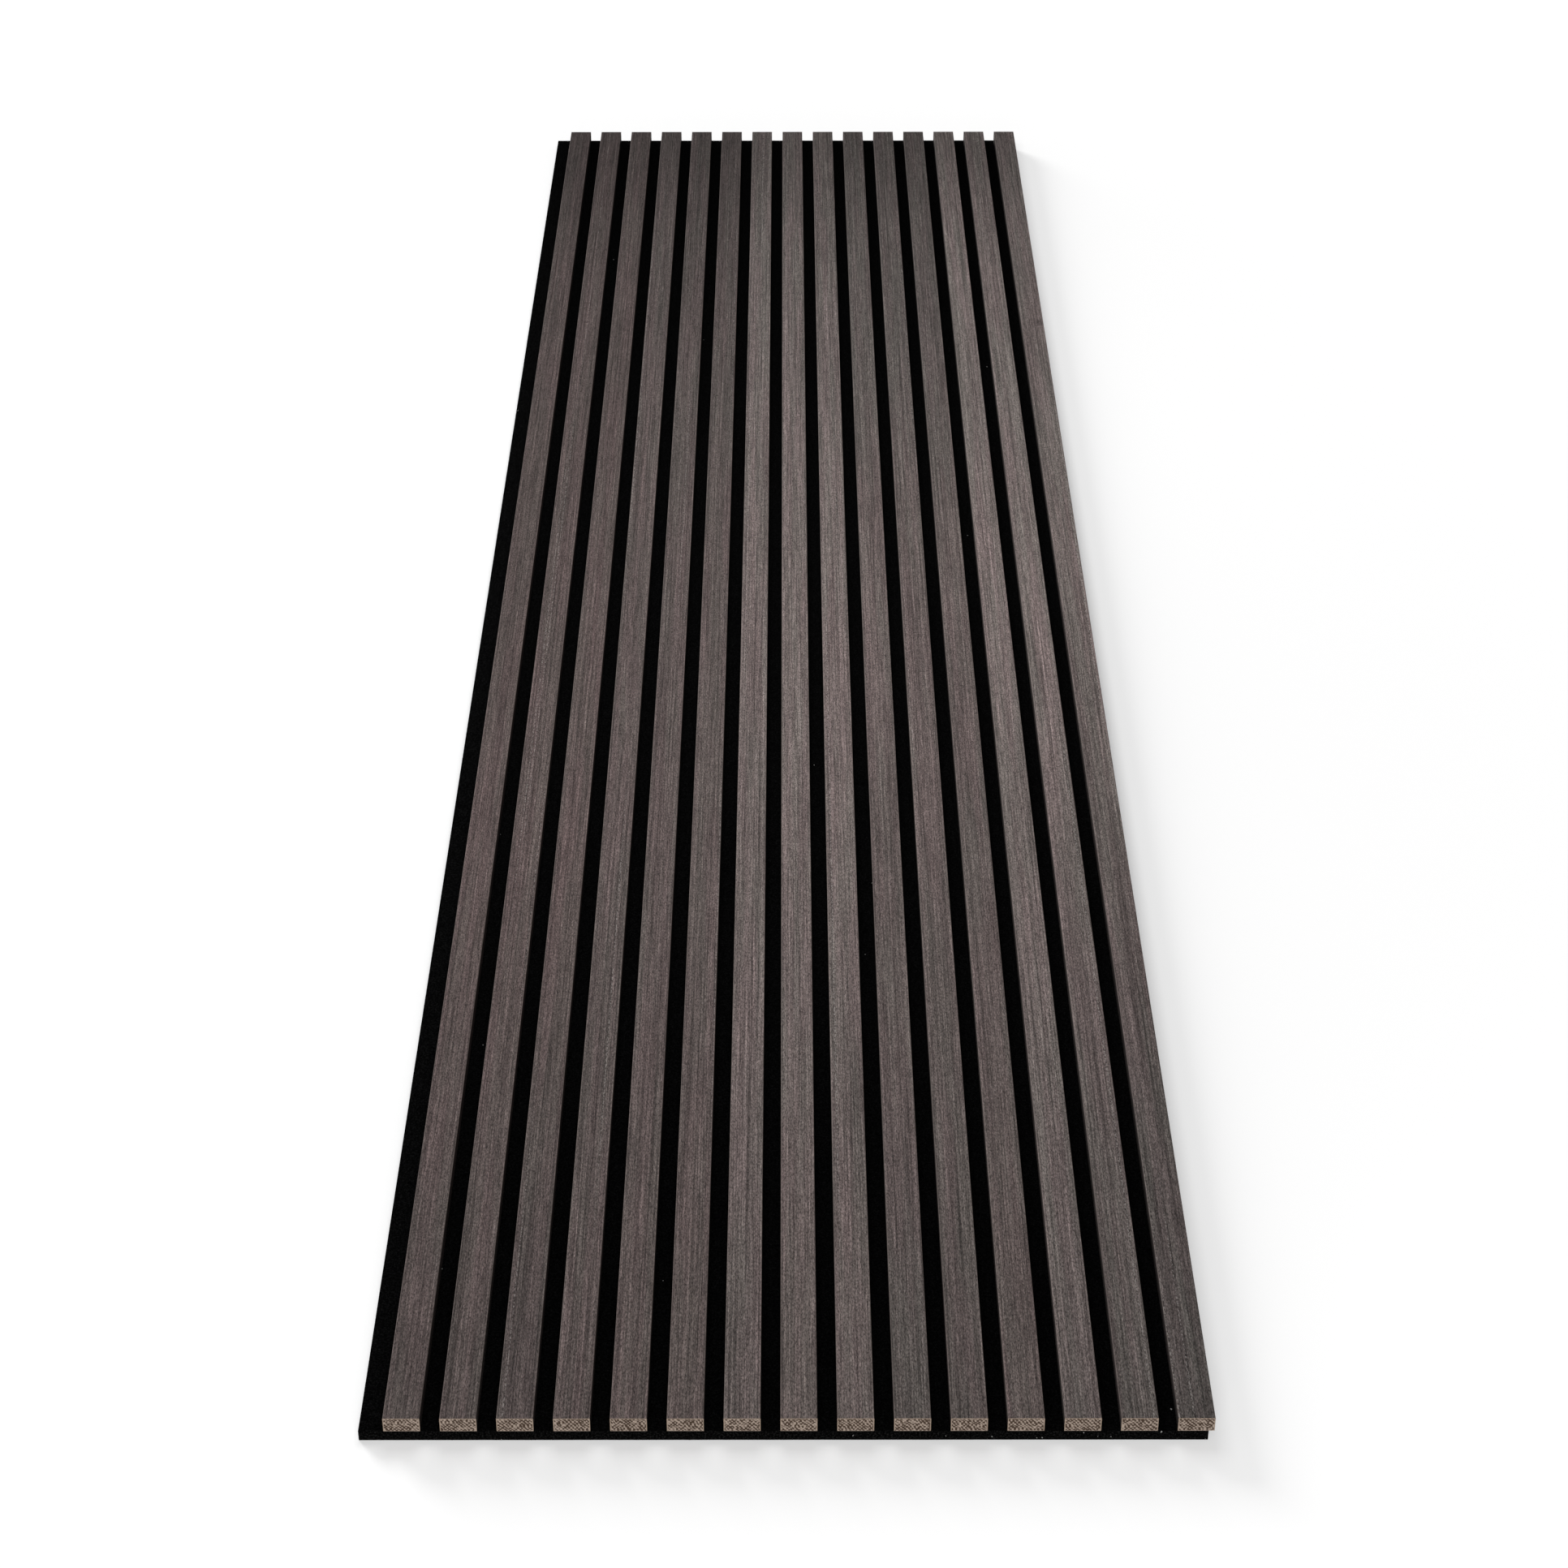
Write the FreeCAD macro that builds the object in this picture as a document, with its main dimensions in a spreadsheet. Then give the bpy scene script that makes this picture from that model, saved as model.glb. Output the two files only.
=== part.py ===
"""Acoustic slat wall panel, lying face up on its felt back.

MDF slats, each wrapped in wood veneer over its face and both sides, stand in a row on
one board of black felt. Staples driven through the felt from behind hold every slat.
The row sits off centre on the felt: the last slat laps over the felt's right edge, and
the felt runs on past the first slat by a gap and a lap, so that panels hung side by side
keep the same rhythm and the joint in the felt stays hidden.

Millimetres, +Z up. Origin: centre of the felt's back face. X runs across the slats and
Y along them.
"""

import FreeCAD
import Part
import Sketcher
import math
import os

# Driving dimensions: sheet alias, value, what it measures.
DRIVING = (
    ("panel_length", 2400, "length of the felt and of every slat"),
    ("slat_count", 15, "slats on one panel"),
    ("slat_pitch", 40, "centre to centre of two slats"),
    ("slat_width", 26, "finished slat, over the veneer"),
    ("slat_height", 12, "finished slat, felt to face"),
    ("felt_thickness", 9, "felt board"),
    ("side_lap", 4, "how far the last slat overhangs the felt"),
    ("veneer_thickness", 0.5, "wrap on the face and both sides"),
    ("staples_per_slat", 5, "staples in one slat"),
    ("staple_end_margin", 60, "panel end to the first staple"),
    ("staple_crown", 12.8, "staple, outside its legs"),
    ("staple_bite", 5.2, "depth of the legs in the core"),
    ("wire_width", 0.95, "staple wire, along the slat"),
    ("wire_thickness", 0.65, "staple wire, across its flat"),
    ("crown_recess", 0.2, "crown pulled in below the felt's back face"),
)

# Sizes and places that follow from the sheet.
FELT_WIDTH = "Sizes.slat_count * Sizes.slat_pitch"
CORE_WIDTH = "Sizes.slat_width - 2 * Sizes.veneer_thickness"
CORE_HEIGHT = "Sizes.slat_height - Sizes.veneer_thickness"
FIRST_SLAT_X = (
    "Sizes.slat_pitch - Sizes.slat_width / 2 + Sizes.side_lap"
    " - Sizes.slat_count * Sizes.slat_pitch / 2"
)
SLAT_RUN = "(Sizes.slat_count - 1) * Sizes.slat_pitch"
STAPLE_RUN = "Sizes.panel_length - 2 * Sizes.staple_end_margin"
FIRST_STAPLE_Y = "Sizes.staple_end_margin - Sizes.panel_length / 2"
CROWN_DEPTH = "Sizes.crown_recess + Sizes.wire_thickness"
LEG_LENGTH = "Sizes.felt_thickness - Sizes.crown_recess + Sizes.staple_bite"

# How a sketch numbers a line's two ends, its root point and its level axis.
START, END = 1, 2
ROOT_POINT = (-1, START)
LEVEL_AXIS = -1

doc = FreeCAD.newDocument("slat_panel")


def make_sheet():
    """The spreadsheet of driving dimensions, one row each: name, value, meaning."""
    sheet = doc.addObject("Spreadsheet::Sheet", "Sizes")
    for row, (alias, amount, meaning) in enumerate(DRIVING, start=1):
        sheet.set(f"A{row}", alias)
        sheet.set(f"B{row}", str(amount))
        sheet.setAlias(f"B{row}", alias)
        sheet.set(f"C{row}", meaning)
    doc.recompute()
    return sheet


sizes = make_sheet()


def value(expression):
    """What an expression on the sheet comes to now."""
    return float(sizes.evalExpression(expression))


def origin_feature(body, role):
    """One of a body's own origin planes or axes."""
    return next(o for o in body.Origin.OriginFeatures if o.Role == role)


def new_body(label):
    body = doc.addObject("PartDesign::Body", label)
    body.Label = label
    return body


def place(body, **expressions):
    """Binds the body's place along x, y or z to the sheet."""
    for axis, expression in expressions.items():
        body.setExpression(f"Placement.Base.{axis}", expression)


def new_sketch(body, name, plane):
    sketch = body.newObject("Sketcher::SketchObject", name)
    sketch.AttachmentSupport = [(origin_feature(body, plane), "")]
    sketch.MapMode = "FlatFace"
    return sketch


def add_line(sketch, start, end):
    return sketch.addGeometry(
        Part.LineSegment(FreeCAD.Vector(*start, 0), FreeCAD.Vector(*end, 0))
    )


def add_arc(sketch, centre, radius, from_angle, to_angle):
    circle = Part.Circle(FreeCAD.Vector(*centre, 0), FreeCAD.Vector(0, 0, 1), radius)
    return sketch.addGeometry(Part.ArcOfCircle(circle, from_angle, to_angle))


def constrain(sketch, kind, *where):
    sketch.addConstraint(Sketcher.Constraint(kind, *where))


def dimension(sketch, name, expression, kind, *where):
    """A named size in a sketch that follows the sheet."""
    index = sketch.addConstraint(Sketcher.Constraint(kind, *where, value(expression)))
    sketch.renameConstraint(index, name)
    sketch.setExpression(f"Constraints.{name}", expression)


def closed_lines(sketch, corners):
    """Straight lines joined end to end through the corners; returns their numbers."""
    lines = [
        add_line(sketch, start, end)
        for start, end in zip(corners, corners[1:] + corners[:1])
    ]
    for line, following in zip(lines, lines[1:] + lines[:1]):
        constrain(sketch, "Coincident", line, END, following, START)
    return lines


def square_up(sketch, level=(), upright=()):
    """Holds some lines level and others upright."""
    for line in level:
        constrain(sketch, "Horizontal", line)
    for line in upright:
        constrain(sketch, "Vertical", line)


def centred_rectangle(sketch, wide, high):
    """A rectangle about the sketch's root point, its two sizes given as expressions."""
    half_wide, half_high = value(wide) / 2, value(high) / 2
    bottom, right, top, left = closed_lines(
        sketch,
        [
            (-half_wide, -half_high),
            (half_wide, -half_high),
            (half_wide, half_high),
            (-half_wide, half_high),
        ],
    )
    square_up(sketch, level=(bottom, top), upright=(right, left))
    constrain(sketch, "Symmetric", bottom, START, right, END, *ROOT_POINT)
    dimension(sketch, "wide", wide, "DistanceX", bottom, START, bottom, END)
    dimension(sketch, "high", high, "DistanceY", right, START, right, END)


def wrap_section(sketch):
    """A channel standing on the level axis: the veneer bent round the core's square edges.

    The bend's radius is the veneer's own thickness, so the wall stays even round the corner.
    """
    half, top = value("Sizes.slat_width") / 2, value("Sizes.slat_height")
    wall = value("Sizes.veneer_thickness")
    right = add_line(sketch, (half, 0), (half, top - wall))
    right_bend = add_arc(sketch, (half - wall, top - wall), wall, 0, math.pi / 2)
    face = add_line(sketch, (half - wall, top), (wall - half, top))
    left_bend = add_arc(sketch, (wall - half, top - wall), wall, math.pi / 2, math.pi)
    left = add_line(sketch, (-half, top - wall), (-half, 0))
    left_foot = add_line(sketch, (-half, 0), (wall - half, 0))
    left_inside = add_line(sketch, (wall - half, 0), (wall - half, top - wall))
    face_inside = add_line(sketch, (wall - half, top - wall), (half - wall, top - wall))
    right_inside = add_line(sketch, (half - wall, top - wall), (half - wall, 0))
    right_foot = add_line(sketch, (half - wall, 0), (half, 0))
    outside = (right, right_bend, face, left_bend, left)
    inside = (left, left_foot, left_inside, face_inside, right_inside, right_foot, right)
    for piece, following in zip(outside, outside[1:]):
        constrain(sketch, "Tangent", piece, END, following, START)
    for piece, following in zip(inside, inside[1:]):
        constrain(sketch, "Coincident", piece, END, following, START)
    square_up(
        sketch,
        level=(face, face_inside, left_foot, right_foot),
        upright=(right, left, left_inside, right_inside),
    )
    constrain(sketch, "Symmetric", left, END, right, START, *ROOT_POINT)
    constrain(sketch, "PointOnObject", right, START, LEVEL_AXIS)
    constrain(sketch, "Equal", right_bend, left_bend)
    constrain(sketch, "Equal", left_foot, right_foot)
    dimension(
        sketch, "wide", "Sizes.slat_width",
        "DistanceX", left, END, right, START,
    )
    dimension(
        sketch, "high", "Sizes.slat_height",
        "DistanceY", right, START, face, START,
    )
    dimension(sketch, "bend", "Sizes.veneer_thickness", "Radius", right_bend)
    dimension(
        sketch, "side_wall", "Sizes.veneer_thickness",
        "DistanceX", left_foot, START, left_foot, END,
    )
    dimension(
        sketch, "face_wall", "Sizes.veneer_thickness",
        "DistanceY", face_inside, END, face, START,
    )


def leg_rectangles(sketch):
    """The section of a staple's two legs, about the sketch's root point."""
    half_crown = value("Sizes.staple_crown") / 2
    half_width = value("Sizes.wire_width") / 2
    inner = half_crown - value("Sizes.wire_thickness")
    legs = []
    for side in (-1, 1):
        corners = [
            (side * half_crown, -half_width),
            (side * inner, -half_width),
            (side * inner, half_width),
            (side * half_crown, half_width),
        ]
        near, inside, far, outside = closed_lines(sketch, corners)
        square_up(sketch, level=(near, far), upright=(inside,))
        constrain(sketch, "Symmetric", outside, START, outside, END, LEVEL_AXIS)
        legs.append((near, inside, outside))
    (left_near, left_inside, left_outside), (right_near, right_inside, right_outside) = legs
    constrain(sketch, "Symmetric", left_outside, START, right_outside, END, *ROOT_POINT)
    constrain(sketch, "Equal", left_near, right_near)
    dimension(
        sketch, "crown", "Sizes.staple_crown",
        "DistanceX", left_near, START, right_near, START,
    )
    dimension(
        sketch, "thick", "Sizes.wire_thickness",
        "DistanceX", left_near, START, left_near, END,
    )
    dimension(
        sketch, "width", "Sizes.wire_width",
        "DistanceY", left_inside, START, left_inside, END,
    )


def extrude(body, sketch, kind, name, length=None, **settings):
    """A Pad or Pocket of the sketch; length is an expression, or None to run right through."""
    feature = body.newObject(f"PartDesign::{kind}", name)
    feature.Profile = sketch
    for setting, choice in settings.items():
        setattr(feature, setting, choice)
    if length is None:
        feature.Type = "ThroughAll"
    else:
        feature.setExpression("Length", length)
    return feature


def repeat_staples(body, originals, across):
    """Repeats features at every staple along the slat and, if across, on every slat."""
    pattern = body.newObject("PartDesign::LinearPattern", "at_every_staple")
    pattern.Originals = originals
    pattern.Direction = (origin_feature(body, "Y_Axis"), [""])
    pattern.Mode = "Extent"
    pattern.setExpression("Length", STAPLE_RUN)
    pattern.setExpression("Occurrences", "Sizes.staples_per_slat")
    if across:
        pattern.Direction2 = (origin_feature(body, "X_Axis"), [""])
        pattern.Mode2 = "Extent"
        pattern.setExpression("Length2", SLAT_RUN)
        pattern.setExpression("Occurrences2", "Sizes.slat_count")
    body.Tip = pattern


def make_felt():
    """The felt board, with a slot for each staple's crown and holes for its legs."""
    body = new_body("felt_backing")
    board = new_sketch(body, "board", "XY_Plane")
    centred_rectangle(board, FELT_WIDTH, "Sizes.panel_length")
    extrude(body, board, "Pad", "board_pad", "Sizes.felt_thickness")

    crown = new_sketch(body, "crown_slot", "XY_Plane")
    centred_rectangle(crown, "Sizes.staple_crown", "Sizes.wire_width")
    legs = new_sketch(body, "leg_holes", "XY_Plane")
    leg_rectangles(legs)
    for sketch in (crown, legs):
        sketch.setExpression("AttachmentOffset.Base.x", FIRST_SLAT_X)
        sketch.setExpression("AttachmentOffset.Base.y", FIRST_STAPLE_Y)
    doc.recompute()
    slot = extrude(body, crown, "Pocket", "crown_pocket", CROWN_DEPTH, Reversed=True)
    holes = extrude(body, legs, "Pocket", "leg_pockets", Reversed=True)
    repeat_staples(body, [slot, holes], across=True)
    return body


def slat_place(number):
    """Where a slat stands, counted from the left: expressions for its x and z."""
    return {
        "x": f"{FIRST_SLAT_X} + {number - 1} * Sizes.slat_pitch",
        "z": "Sizes.felt_thickness",
    }


def make_core(number):
    """A square-edged MDF strip with a pair of leg holes at every staple."""
    body = new_body(f"mdf_core_{number:02d}")
    place(body, **slat_place(number))
    strip = new_sketch(body, "strip", "XY_Plane")
    centred_rectangle(strip, CORE_WIDTH, "Sizes.panel_length")
    extrude(body, strip, "Pad", "strip_pad", CORE_HEIGHT)

    legs = new_sketch(body, "leg_holes", "XY_Plane")
    leg_rectangles(legs)
    legs.setExpression("AttachmentOffset.Base.y", FIRST_STAPLE_Y)
    doc.recompute()
    holes = extrude(body, legs, "Pocket", "leg_pockets", "Sizes.staple_bite", Reversed=True)
    repeat_staples(body, [holes], across=False)
    return body


def make_veneer(number):
    """The wrap of one slat: a thin channel that closes on the core's face and sides."""
    body = new_body(f"veneer_wrap_{number:02d}")
    place(body, **slat_place(number))
    section = new_sketch(body, "section", "XZ_Plane")
    wrap_section(section)
    extrude(body, section, "Pad", "wrap", "Sizes.panel_length", SideType="Symmetric")
    return body


def make_staples():
    """Every staple of the panel, driven from behind with its crown just below the felt."""
    body = new_body("fixing_staples")
    place(body, x=FIRST_SLAT_X, y=FIRST_STAPLE_Y, z="Sizes.crown_recess")
    section = new_sketch(body, "wire", "XZ_Plane")
    half = value("Sizes.staple_crown") / 2
    thick = value("Sizes.wire_thickness")
    leg = value(LEG_LENGTH)
    lines = closed_lines(
        section,
        [
            (-half, 0),
            (half, 0),
            (half, leg),
            (half - thick, leg),
            (half - thick, thick),
            (thick - half, thick),
            (thick - half, leg),
            (-half, leg),
        ],
    )
    crown, right, right_tip, right_inside, under_crown, left_inside, left_tip, left = lines
    square_up(
        section,
        level=(right_tip, under_crown, left_tip),
        upright=(right, right_inside, left_inside, left),
    )
    constrain(section, "Symmetric", crown, START, crown, END, *ROOT_POINT)
    constrain(section, "PointOnObject", crown, START, LEVEL_AXIS)
    constrain(section, "Equal", right, left)
    constrain(section, "Equal", right_tip, left_tip)
    dimension(section, "crown", "Sizes.staple_crown", "DistanceX", crown, START, crown, END)
    dimension(section, "leg", LEG_LENGTH, "DistanceY", right, START, right, END)
    dimension(
        section, "leg_thick", "Sizes.wire_thickness",
        "DistanceX", right_tip, END, right_tip, START,
    )
    dimension(
        section, "crown_thick", "Sizes.wire_thickness",
        "DistanceY", crown, END, under_crown, START,
    )
    wire = extrude(body, section, "Pad", "staple", "Sizes.wire_width", SideType="Symmetric")
    doc.recompute()
    repeat_staples(body, [wire], across=True)
    return body


def check(bodies):
    """Stops the build if an object failed, a sketch is loose or a shape isn't sound."""
    for item in doc.Objects:
        if "Invalid" in item.State or "Error" in item.State:
            raise RuntimeError(f"{item.Name} failed: {item.State}")
        if item.isDerivedFrom("Sketcher::SketchObject") and not item.FullyConstrained:
            raise RuntimeError(f"{item.Name} isn't fully constrained")
    for body in bodies:
        if body.Shape.isNull() or not body.Shape.isValid() or not body.Shape.Solids:
            raise RuntimeError(f"{body.Label} has no sound solid")


def main():
    numbers = range(1, round(value("Sizes.slat_count")) + 1)
    bodies = [make_felt(), make_staples()]
    bodies += [make_core(number) for number in numbers]
    bodies += [make_veneer(number) for number in numbers]
    doc.recompute()
    check(bodies)
    os.makedirs("parts", exist_ok=True)
    for body in bodies:
        body.Shape.exportStep(os.path.join("parts", body.Label + ".step"))


main()
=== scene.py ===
"""Looks of the acoustic slat wall panel.

Stained wood veneer wraps fibreboard slats whose ends show the saw's marks. They stand on a
board of black felt, held by wire staples whose crowns are pulled into the felt's back.
Metres, in the panel's own frame: X across the slats, Y along them, Z out of the face.
"""

import math

import bpy
import numpy as np
from mathutils import Matrix, Vector


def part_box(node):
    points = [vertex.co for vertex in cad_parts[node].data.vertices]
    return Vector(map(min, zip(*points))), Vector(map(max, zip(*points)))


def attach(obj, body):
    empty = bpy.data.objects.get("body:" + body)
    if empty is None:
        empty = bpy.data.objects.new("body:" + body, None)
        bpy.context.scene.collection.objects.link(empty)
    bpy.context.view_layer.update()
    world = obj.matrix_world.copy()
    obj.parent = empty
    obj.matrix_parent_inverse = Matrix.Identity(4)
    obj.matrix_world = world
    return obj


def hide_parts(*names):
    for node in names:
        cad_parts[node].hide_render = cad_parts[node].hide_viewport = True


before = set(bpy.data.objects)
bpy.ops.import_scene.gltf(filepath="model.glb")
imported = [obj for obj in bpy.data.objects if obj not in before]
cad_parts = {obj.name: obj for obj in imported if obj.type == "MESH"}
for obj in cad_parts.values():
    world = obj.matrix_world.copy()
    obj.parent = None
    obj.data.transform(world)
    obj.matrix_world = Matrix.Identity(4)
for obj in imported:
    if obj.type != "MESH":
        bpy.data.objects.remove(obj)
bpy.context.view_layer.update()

MM = 0.001
SLAT_COUNT = sum(name.startswith("veneer_wrap_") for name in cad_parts)
SLAT_NUMBERS = range(1, SLAT_COUNT + 1)

# The veneer was laid in sheets that were slit into three slats each, so tones run in threes. From its
# near end to its middle a sheet's tone drifts, a painted sheen that lightens some sheets and dims
# others. The last sheet darkens to its outer edge, and all of them darken over the last stretch to the
# far end with painted shade.
SLATS_PER_SHEET = 3
NEAR_TONES = (0.83, 0.89, 1.11, 0.93, 1.17)
FAR_TONES = (0.695, 0.765, 1.245, 0.95, 1.44)
LAST_SHEET_NEAR_FADE = 0.30
LAST_SHEET_FAR_FADE = 0.10
SHEEN_DRIFT = 0.6
FAR_END_PAINTED_SHADE = 0.26
FAR_END_REACH = 400 * MM

# Each slat's own small share of lighter or darker stain, and how that wanders along it.
SLAT_TONE_RANGE = (0.98, 1.02)
TONE_WANDER = 0.03
TONE_WANDER_RUN = 500 * MM

# How grey the stain is: by slat at the near end, and by sheet in the middle and at the far end.
NEAR_GREYING = (0.45, 0.4, 0.65, 0.4, 0.3, 0.25, 0.65, 0.4, 0.55, 0.75, 0.65, 0.35, 0.8, 0.8, 1.0)
MIDDLE_GREYING = (0.05, 0.4, 0.6, 0.5, 0.65)
FAR_GREYING = (0.2, 0.6, 0.8, 0.85, 0.8)
GREYING_REACH = 600 * MM

# Dotted pale lines along the last slat, by their distances from the slat's middle line.
STREAK_OFFSETS = (-12.3 * MM, -1.8 * MM)
STREAK_WIDTH = 0.45 * MM
STREAK_REACH = 420 * MM

# A dark scuff at the outer edge of the last slat: its middle, and its half width and half length.
SCUFF_PLACE = (300 * MM, 607 * MM)
SCUFF_SIZE = (6 * MM, 14 * MM)

# Relief of the veneer: shallow flutes along the grain. The sides carry painted shade, darker than
# the face as if the grooves shaded them.
FACE_LINES = 65
SIDE_LINES = 5
BEND_LINES = 7
GRAIN_STATIONS = 97
FLUTE_DEPTH = 0.05 * MM
FLUTE_WIDTH = 1.3 * MM
FLUTE_RUN = 170 * MM
COARSE_FLUTE_SHARE = 0.3
COARSE_FLUTE_WIDTH = 3 * FLUTE_WIDTH
COARSE_FLUTE_RUN = 2 * FLUTE_RUN
ARRIS_BAND = 0.7 * MM
SHEET_STEP = 0.5137
PAINTED_SIDE_SHADE = 0.70

# The veneer's figure, by lines and runs per metre and by detail. Each layer also has the shares to
# which its lines darken and lighten the stain.
STAIN_PATCHES = (90.0, 4.0, 1.0)
FIGURE_LAYERS = {
    "grain": (560.0, 2.5, 4.0, 0.52, 1.48),
    "threads": (850.0, 13.0, 2.0, 0.6, 1.4),
    "dashes": (1050.0, 70.0, 3.0, 0.65, 1.35),
    "specks": (1150.0, 420.0, 1.0, 0.46, 1.54),
}
PORES = (1500.0, 170.0, 1.0)
PALE_LINES = (600.0, 0.6, 0.0)

# How fully pores, arrises with wear and a painted highlight, and pale flecks cover the stain, and
# how much fainter pale lines are than the streaks of the last slat.
PORE_COVER = 0.6
ARRIS_COVER = 0.5
FLECK_COVER = 0.85
PALE_LINE_SHARE = 0.65

# The span that most of a noise's values fill, and three turns that bring its lattice out of line
# with the grain.
NOISE_SPAN = (0.3, 0.7)
OFF_LATTICE = (0.62, 0.43, 0.91)

# Marks of the saw on the fibreboard's cut ends: strokes, weaker crossing ones and crumbled spots,
# by their weights in the groove's depth, and the cells of the noises that break them up.
END_COLUMNS = 81
END_ROWS = 37
SAW_PITCH = 2.15 * MM
SAW_SLOPE = math.radians(51)
SAW_DEPTH = 0.3 * MM
SAW_BORDER = 0.35 * MM
SAW_MEAN = 0.55
STROKE_WEIGHT = 0.31
CROSSING_WEIGHT = 0.2
CRUMBLE_WEIGHT = 0.22
CRUMBLE_CELL = (0.9 * MM, 0.8 * MM)
SAW_WANDER = 0.4
WANDER_CELL = (5 * MM, 3 * MM)
BITE_MEAN = 0.75
BITE_SPREAD = 0.5
BITE_CELL = (1.5 * MM, 1.3 * MM)
FIBRE_ROUGHNESS = 0.05 * MM
FIBRE_CELL = (0.6 * MM, 0.6 * MM)
BOARD_FIBRE_COVER = 0.25

# The felt board. Lines of its mesh gather at its edges and round each staple's crown, by shares of
# the edge's radius, of half a crown and of the wire's width.
FELT_EDGE_RADIUS = 0.4 * MM
FELT_LINE_SPACING = 16 * MM
FELT_LAYERS = 7
EDGE_SHARES = (0.0, 0.3, 1.0)
CROWN_SHARES = (-1.6, -1.1, -0.9, -0.4, 0.4, 0.9, 1.1, 1.6)
WIRE_SHARES = (-5, -2.5, -1.2, -0.5, 0.5, 1.2, 2.5, 5)
FELT_LUMPS = 0.1 * MM
LUMP_CELL = (9 * MM, 9 * MM)
RIDGE_CELL = (4 * MM, 30 * MM)
DIMPLE_DEPTH = 0.3 * MM
DIMPLE_REACH = 2.2 * MM
FELT_HAIR_COVER = 0.12

# Loose hairs of the felt: a hair is slimmer at its bend, and its tip keeps a share of the bend's lift.
HAIR_RADIUS = 0.035 * MM
HAIR_BEND_SLIMNESS = 0.8
HAIR_TIP_SHARES = (-0.2, 1.0)
HAIR_LENGTHS = (0.9 * MM, 2.6 * MM)
HAIR_LIFTS = (0.12 * MM, 0.45 * MM)
HAIR_ROOT_DEPTH = 0.2 * MM
HAIR_CEILING = 0.6 * MM
EDGE_HAIRS = 1800
TOP_HAIRS = 1600
BACK_HAIRS = 900

# Lint on the felt: scattered specks, and single ones that are given by X and Z in millimetres on the
# felt's near edge, and by X and Y on its face.
LINT_COUNT = 18
LINT_RADIUS = 0.32 * MM
SPECK_RADIUS = 0.5 * MM
LINT_LENGTHS = (0.7 * MM, 1.6 * MM)
LINT_BEND_LIFT = 0.3 * MM
LINT_TIP_LIFT = 0.15 * MM
LINT_ROOT_DEPTH = 0.1 * MM
LINT_FLOOR = 1 * MM
EDGE_LINT = ((147, 4), (183, 2.2), (212, 7), (231, 3.3), (267, 8.4))
FACE_LINT = ((276, -1179), (-246, -757))

# The staples' wire.
STAPLE_ROWS = 5
WIRE_WIDTH = 0.95 * MM
WIRE_THICKNESS = 0.65 * MM
WIRE_BEND = 0.8 * MM
WIRE_SIDES = 8
WIRE_SQUARENESS = 0.35
BEND_STEPS = 6
CHISEL_LENGTH = 2.0 * WIRE_THICKNESS
CHISEL_THINNESS = 0.15

# Colours, as linear shares of red, green and blue.
WHITE = (1.0, 1.0, 1.0)
GREY_GREEN_STAIN = (0.1445, 0.1137, 0.1058)
MAUVE_STAIN = (0.157, 0.1127, 0.1092)
GREYED_SHARE = (0.875, 1.0, 0.99)
PORE_BROWN = (0.03, 0.023, 0.02)
SCUFF_BROWN = (0.045, 0.036, 0.034)
# Paler arris: wear, and a painted highlight where the rounded edge catches the light.
WORN_AND_LIT_ARRIS = (0.27, 0.22, 0.2)
PALE_FLECK = (0.40, 0.37, 0.35)
RAW_WOOD = ((0.30, 0.215, 0.155), (0.62, 0.48, 0.37))
BOARD_TAN = ((0.46, 0.35, 0.28), (0.74, 0.6, 0.51))
BOARD_FIBRE = (0.74, 0.62, 0.50)
SAW_DUST = (0.096, 0.062, 0.043)
PRESSED_FELT = ((0.0008, 0.0008, 0.0008), (0.0082, 0.0082, 0.0083))
# Felt of the cut edges: opened fibres, paler with a painted sheen of fuzz catching the light.
CUT_FELT_AND_SHEEN = ((0.0005, 0.0005, 0.0005), (0.024, 0.0234, 0.023))
FELT_HAIR = (0.016, 0.016, 0.017)
LOOSE_HAIR = ((0.004, 0.004, 0.004), (0.03, 0.03, 0.031))
LINT_GREY = ((0.35, 0.35, 0.34), (0.75, 0.75, 0.72))
ZINC = ((0.36, 0.36, 0.355), (0.68, 0.68, 0.66))
FLOOR_GREY = (0.8, 0.8, 0.8)

# The floor, and the oval over which its glow rises from the middle outwards: its middle, its half
# sizes, and the strengths in the middle and at the rim.
FLOOR_HALF = 30.0
GLOW_PLACE = (0.0, -0.1)
GLOW_SIZE = (2.0, 8 / 3)
GLOW_STRENGTHS = (0.19, 0.892)

# Strengths of the world: as light, and as the white that the camera sees.
WORLD_STRENGTHS = (0.15, 1.0)

# The camera, fitted to the long edges and the two ends of the panel in the photograph.
CAMERA_PLACE = (0.0029, -2.8561, 1.6331)
CAMERA_PITCH = math.radians(33.103)
CAMERA_YAW = math.radians(0.060)
CAMERA_ROLL = math.radians(-0.084)
CAMERA_LENS = 74.074
CAMERA_SENSOR = 36.0
CAMERA_SIGHT = 200.0


def seeded(label):
    """A random source that is the same on every run, one for each label."""
    return np.random.default_rng(sum(ord(letter) * place for place, letter in enumerate(label, 1)))


def smooth_step(amount):
    """Three times the square less twice the cube: flat at 0 and at 1."""
    amount = np.clip(amount, 0, 1)
    return amount * amount * (3 - 2 * amount)


def unit(vectors):
    """Vectors divided by their lengths."""
    return vectors / np.linalg.norm(vectors, axis=-1, keepdims=True)


def mirrored(half, middle=(), sign=1):
    """A row of values, a middle part, and the row again backwards, times the sign."""
    return np.concatenate([half, middle, sign * half[::-1]])


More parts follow.
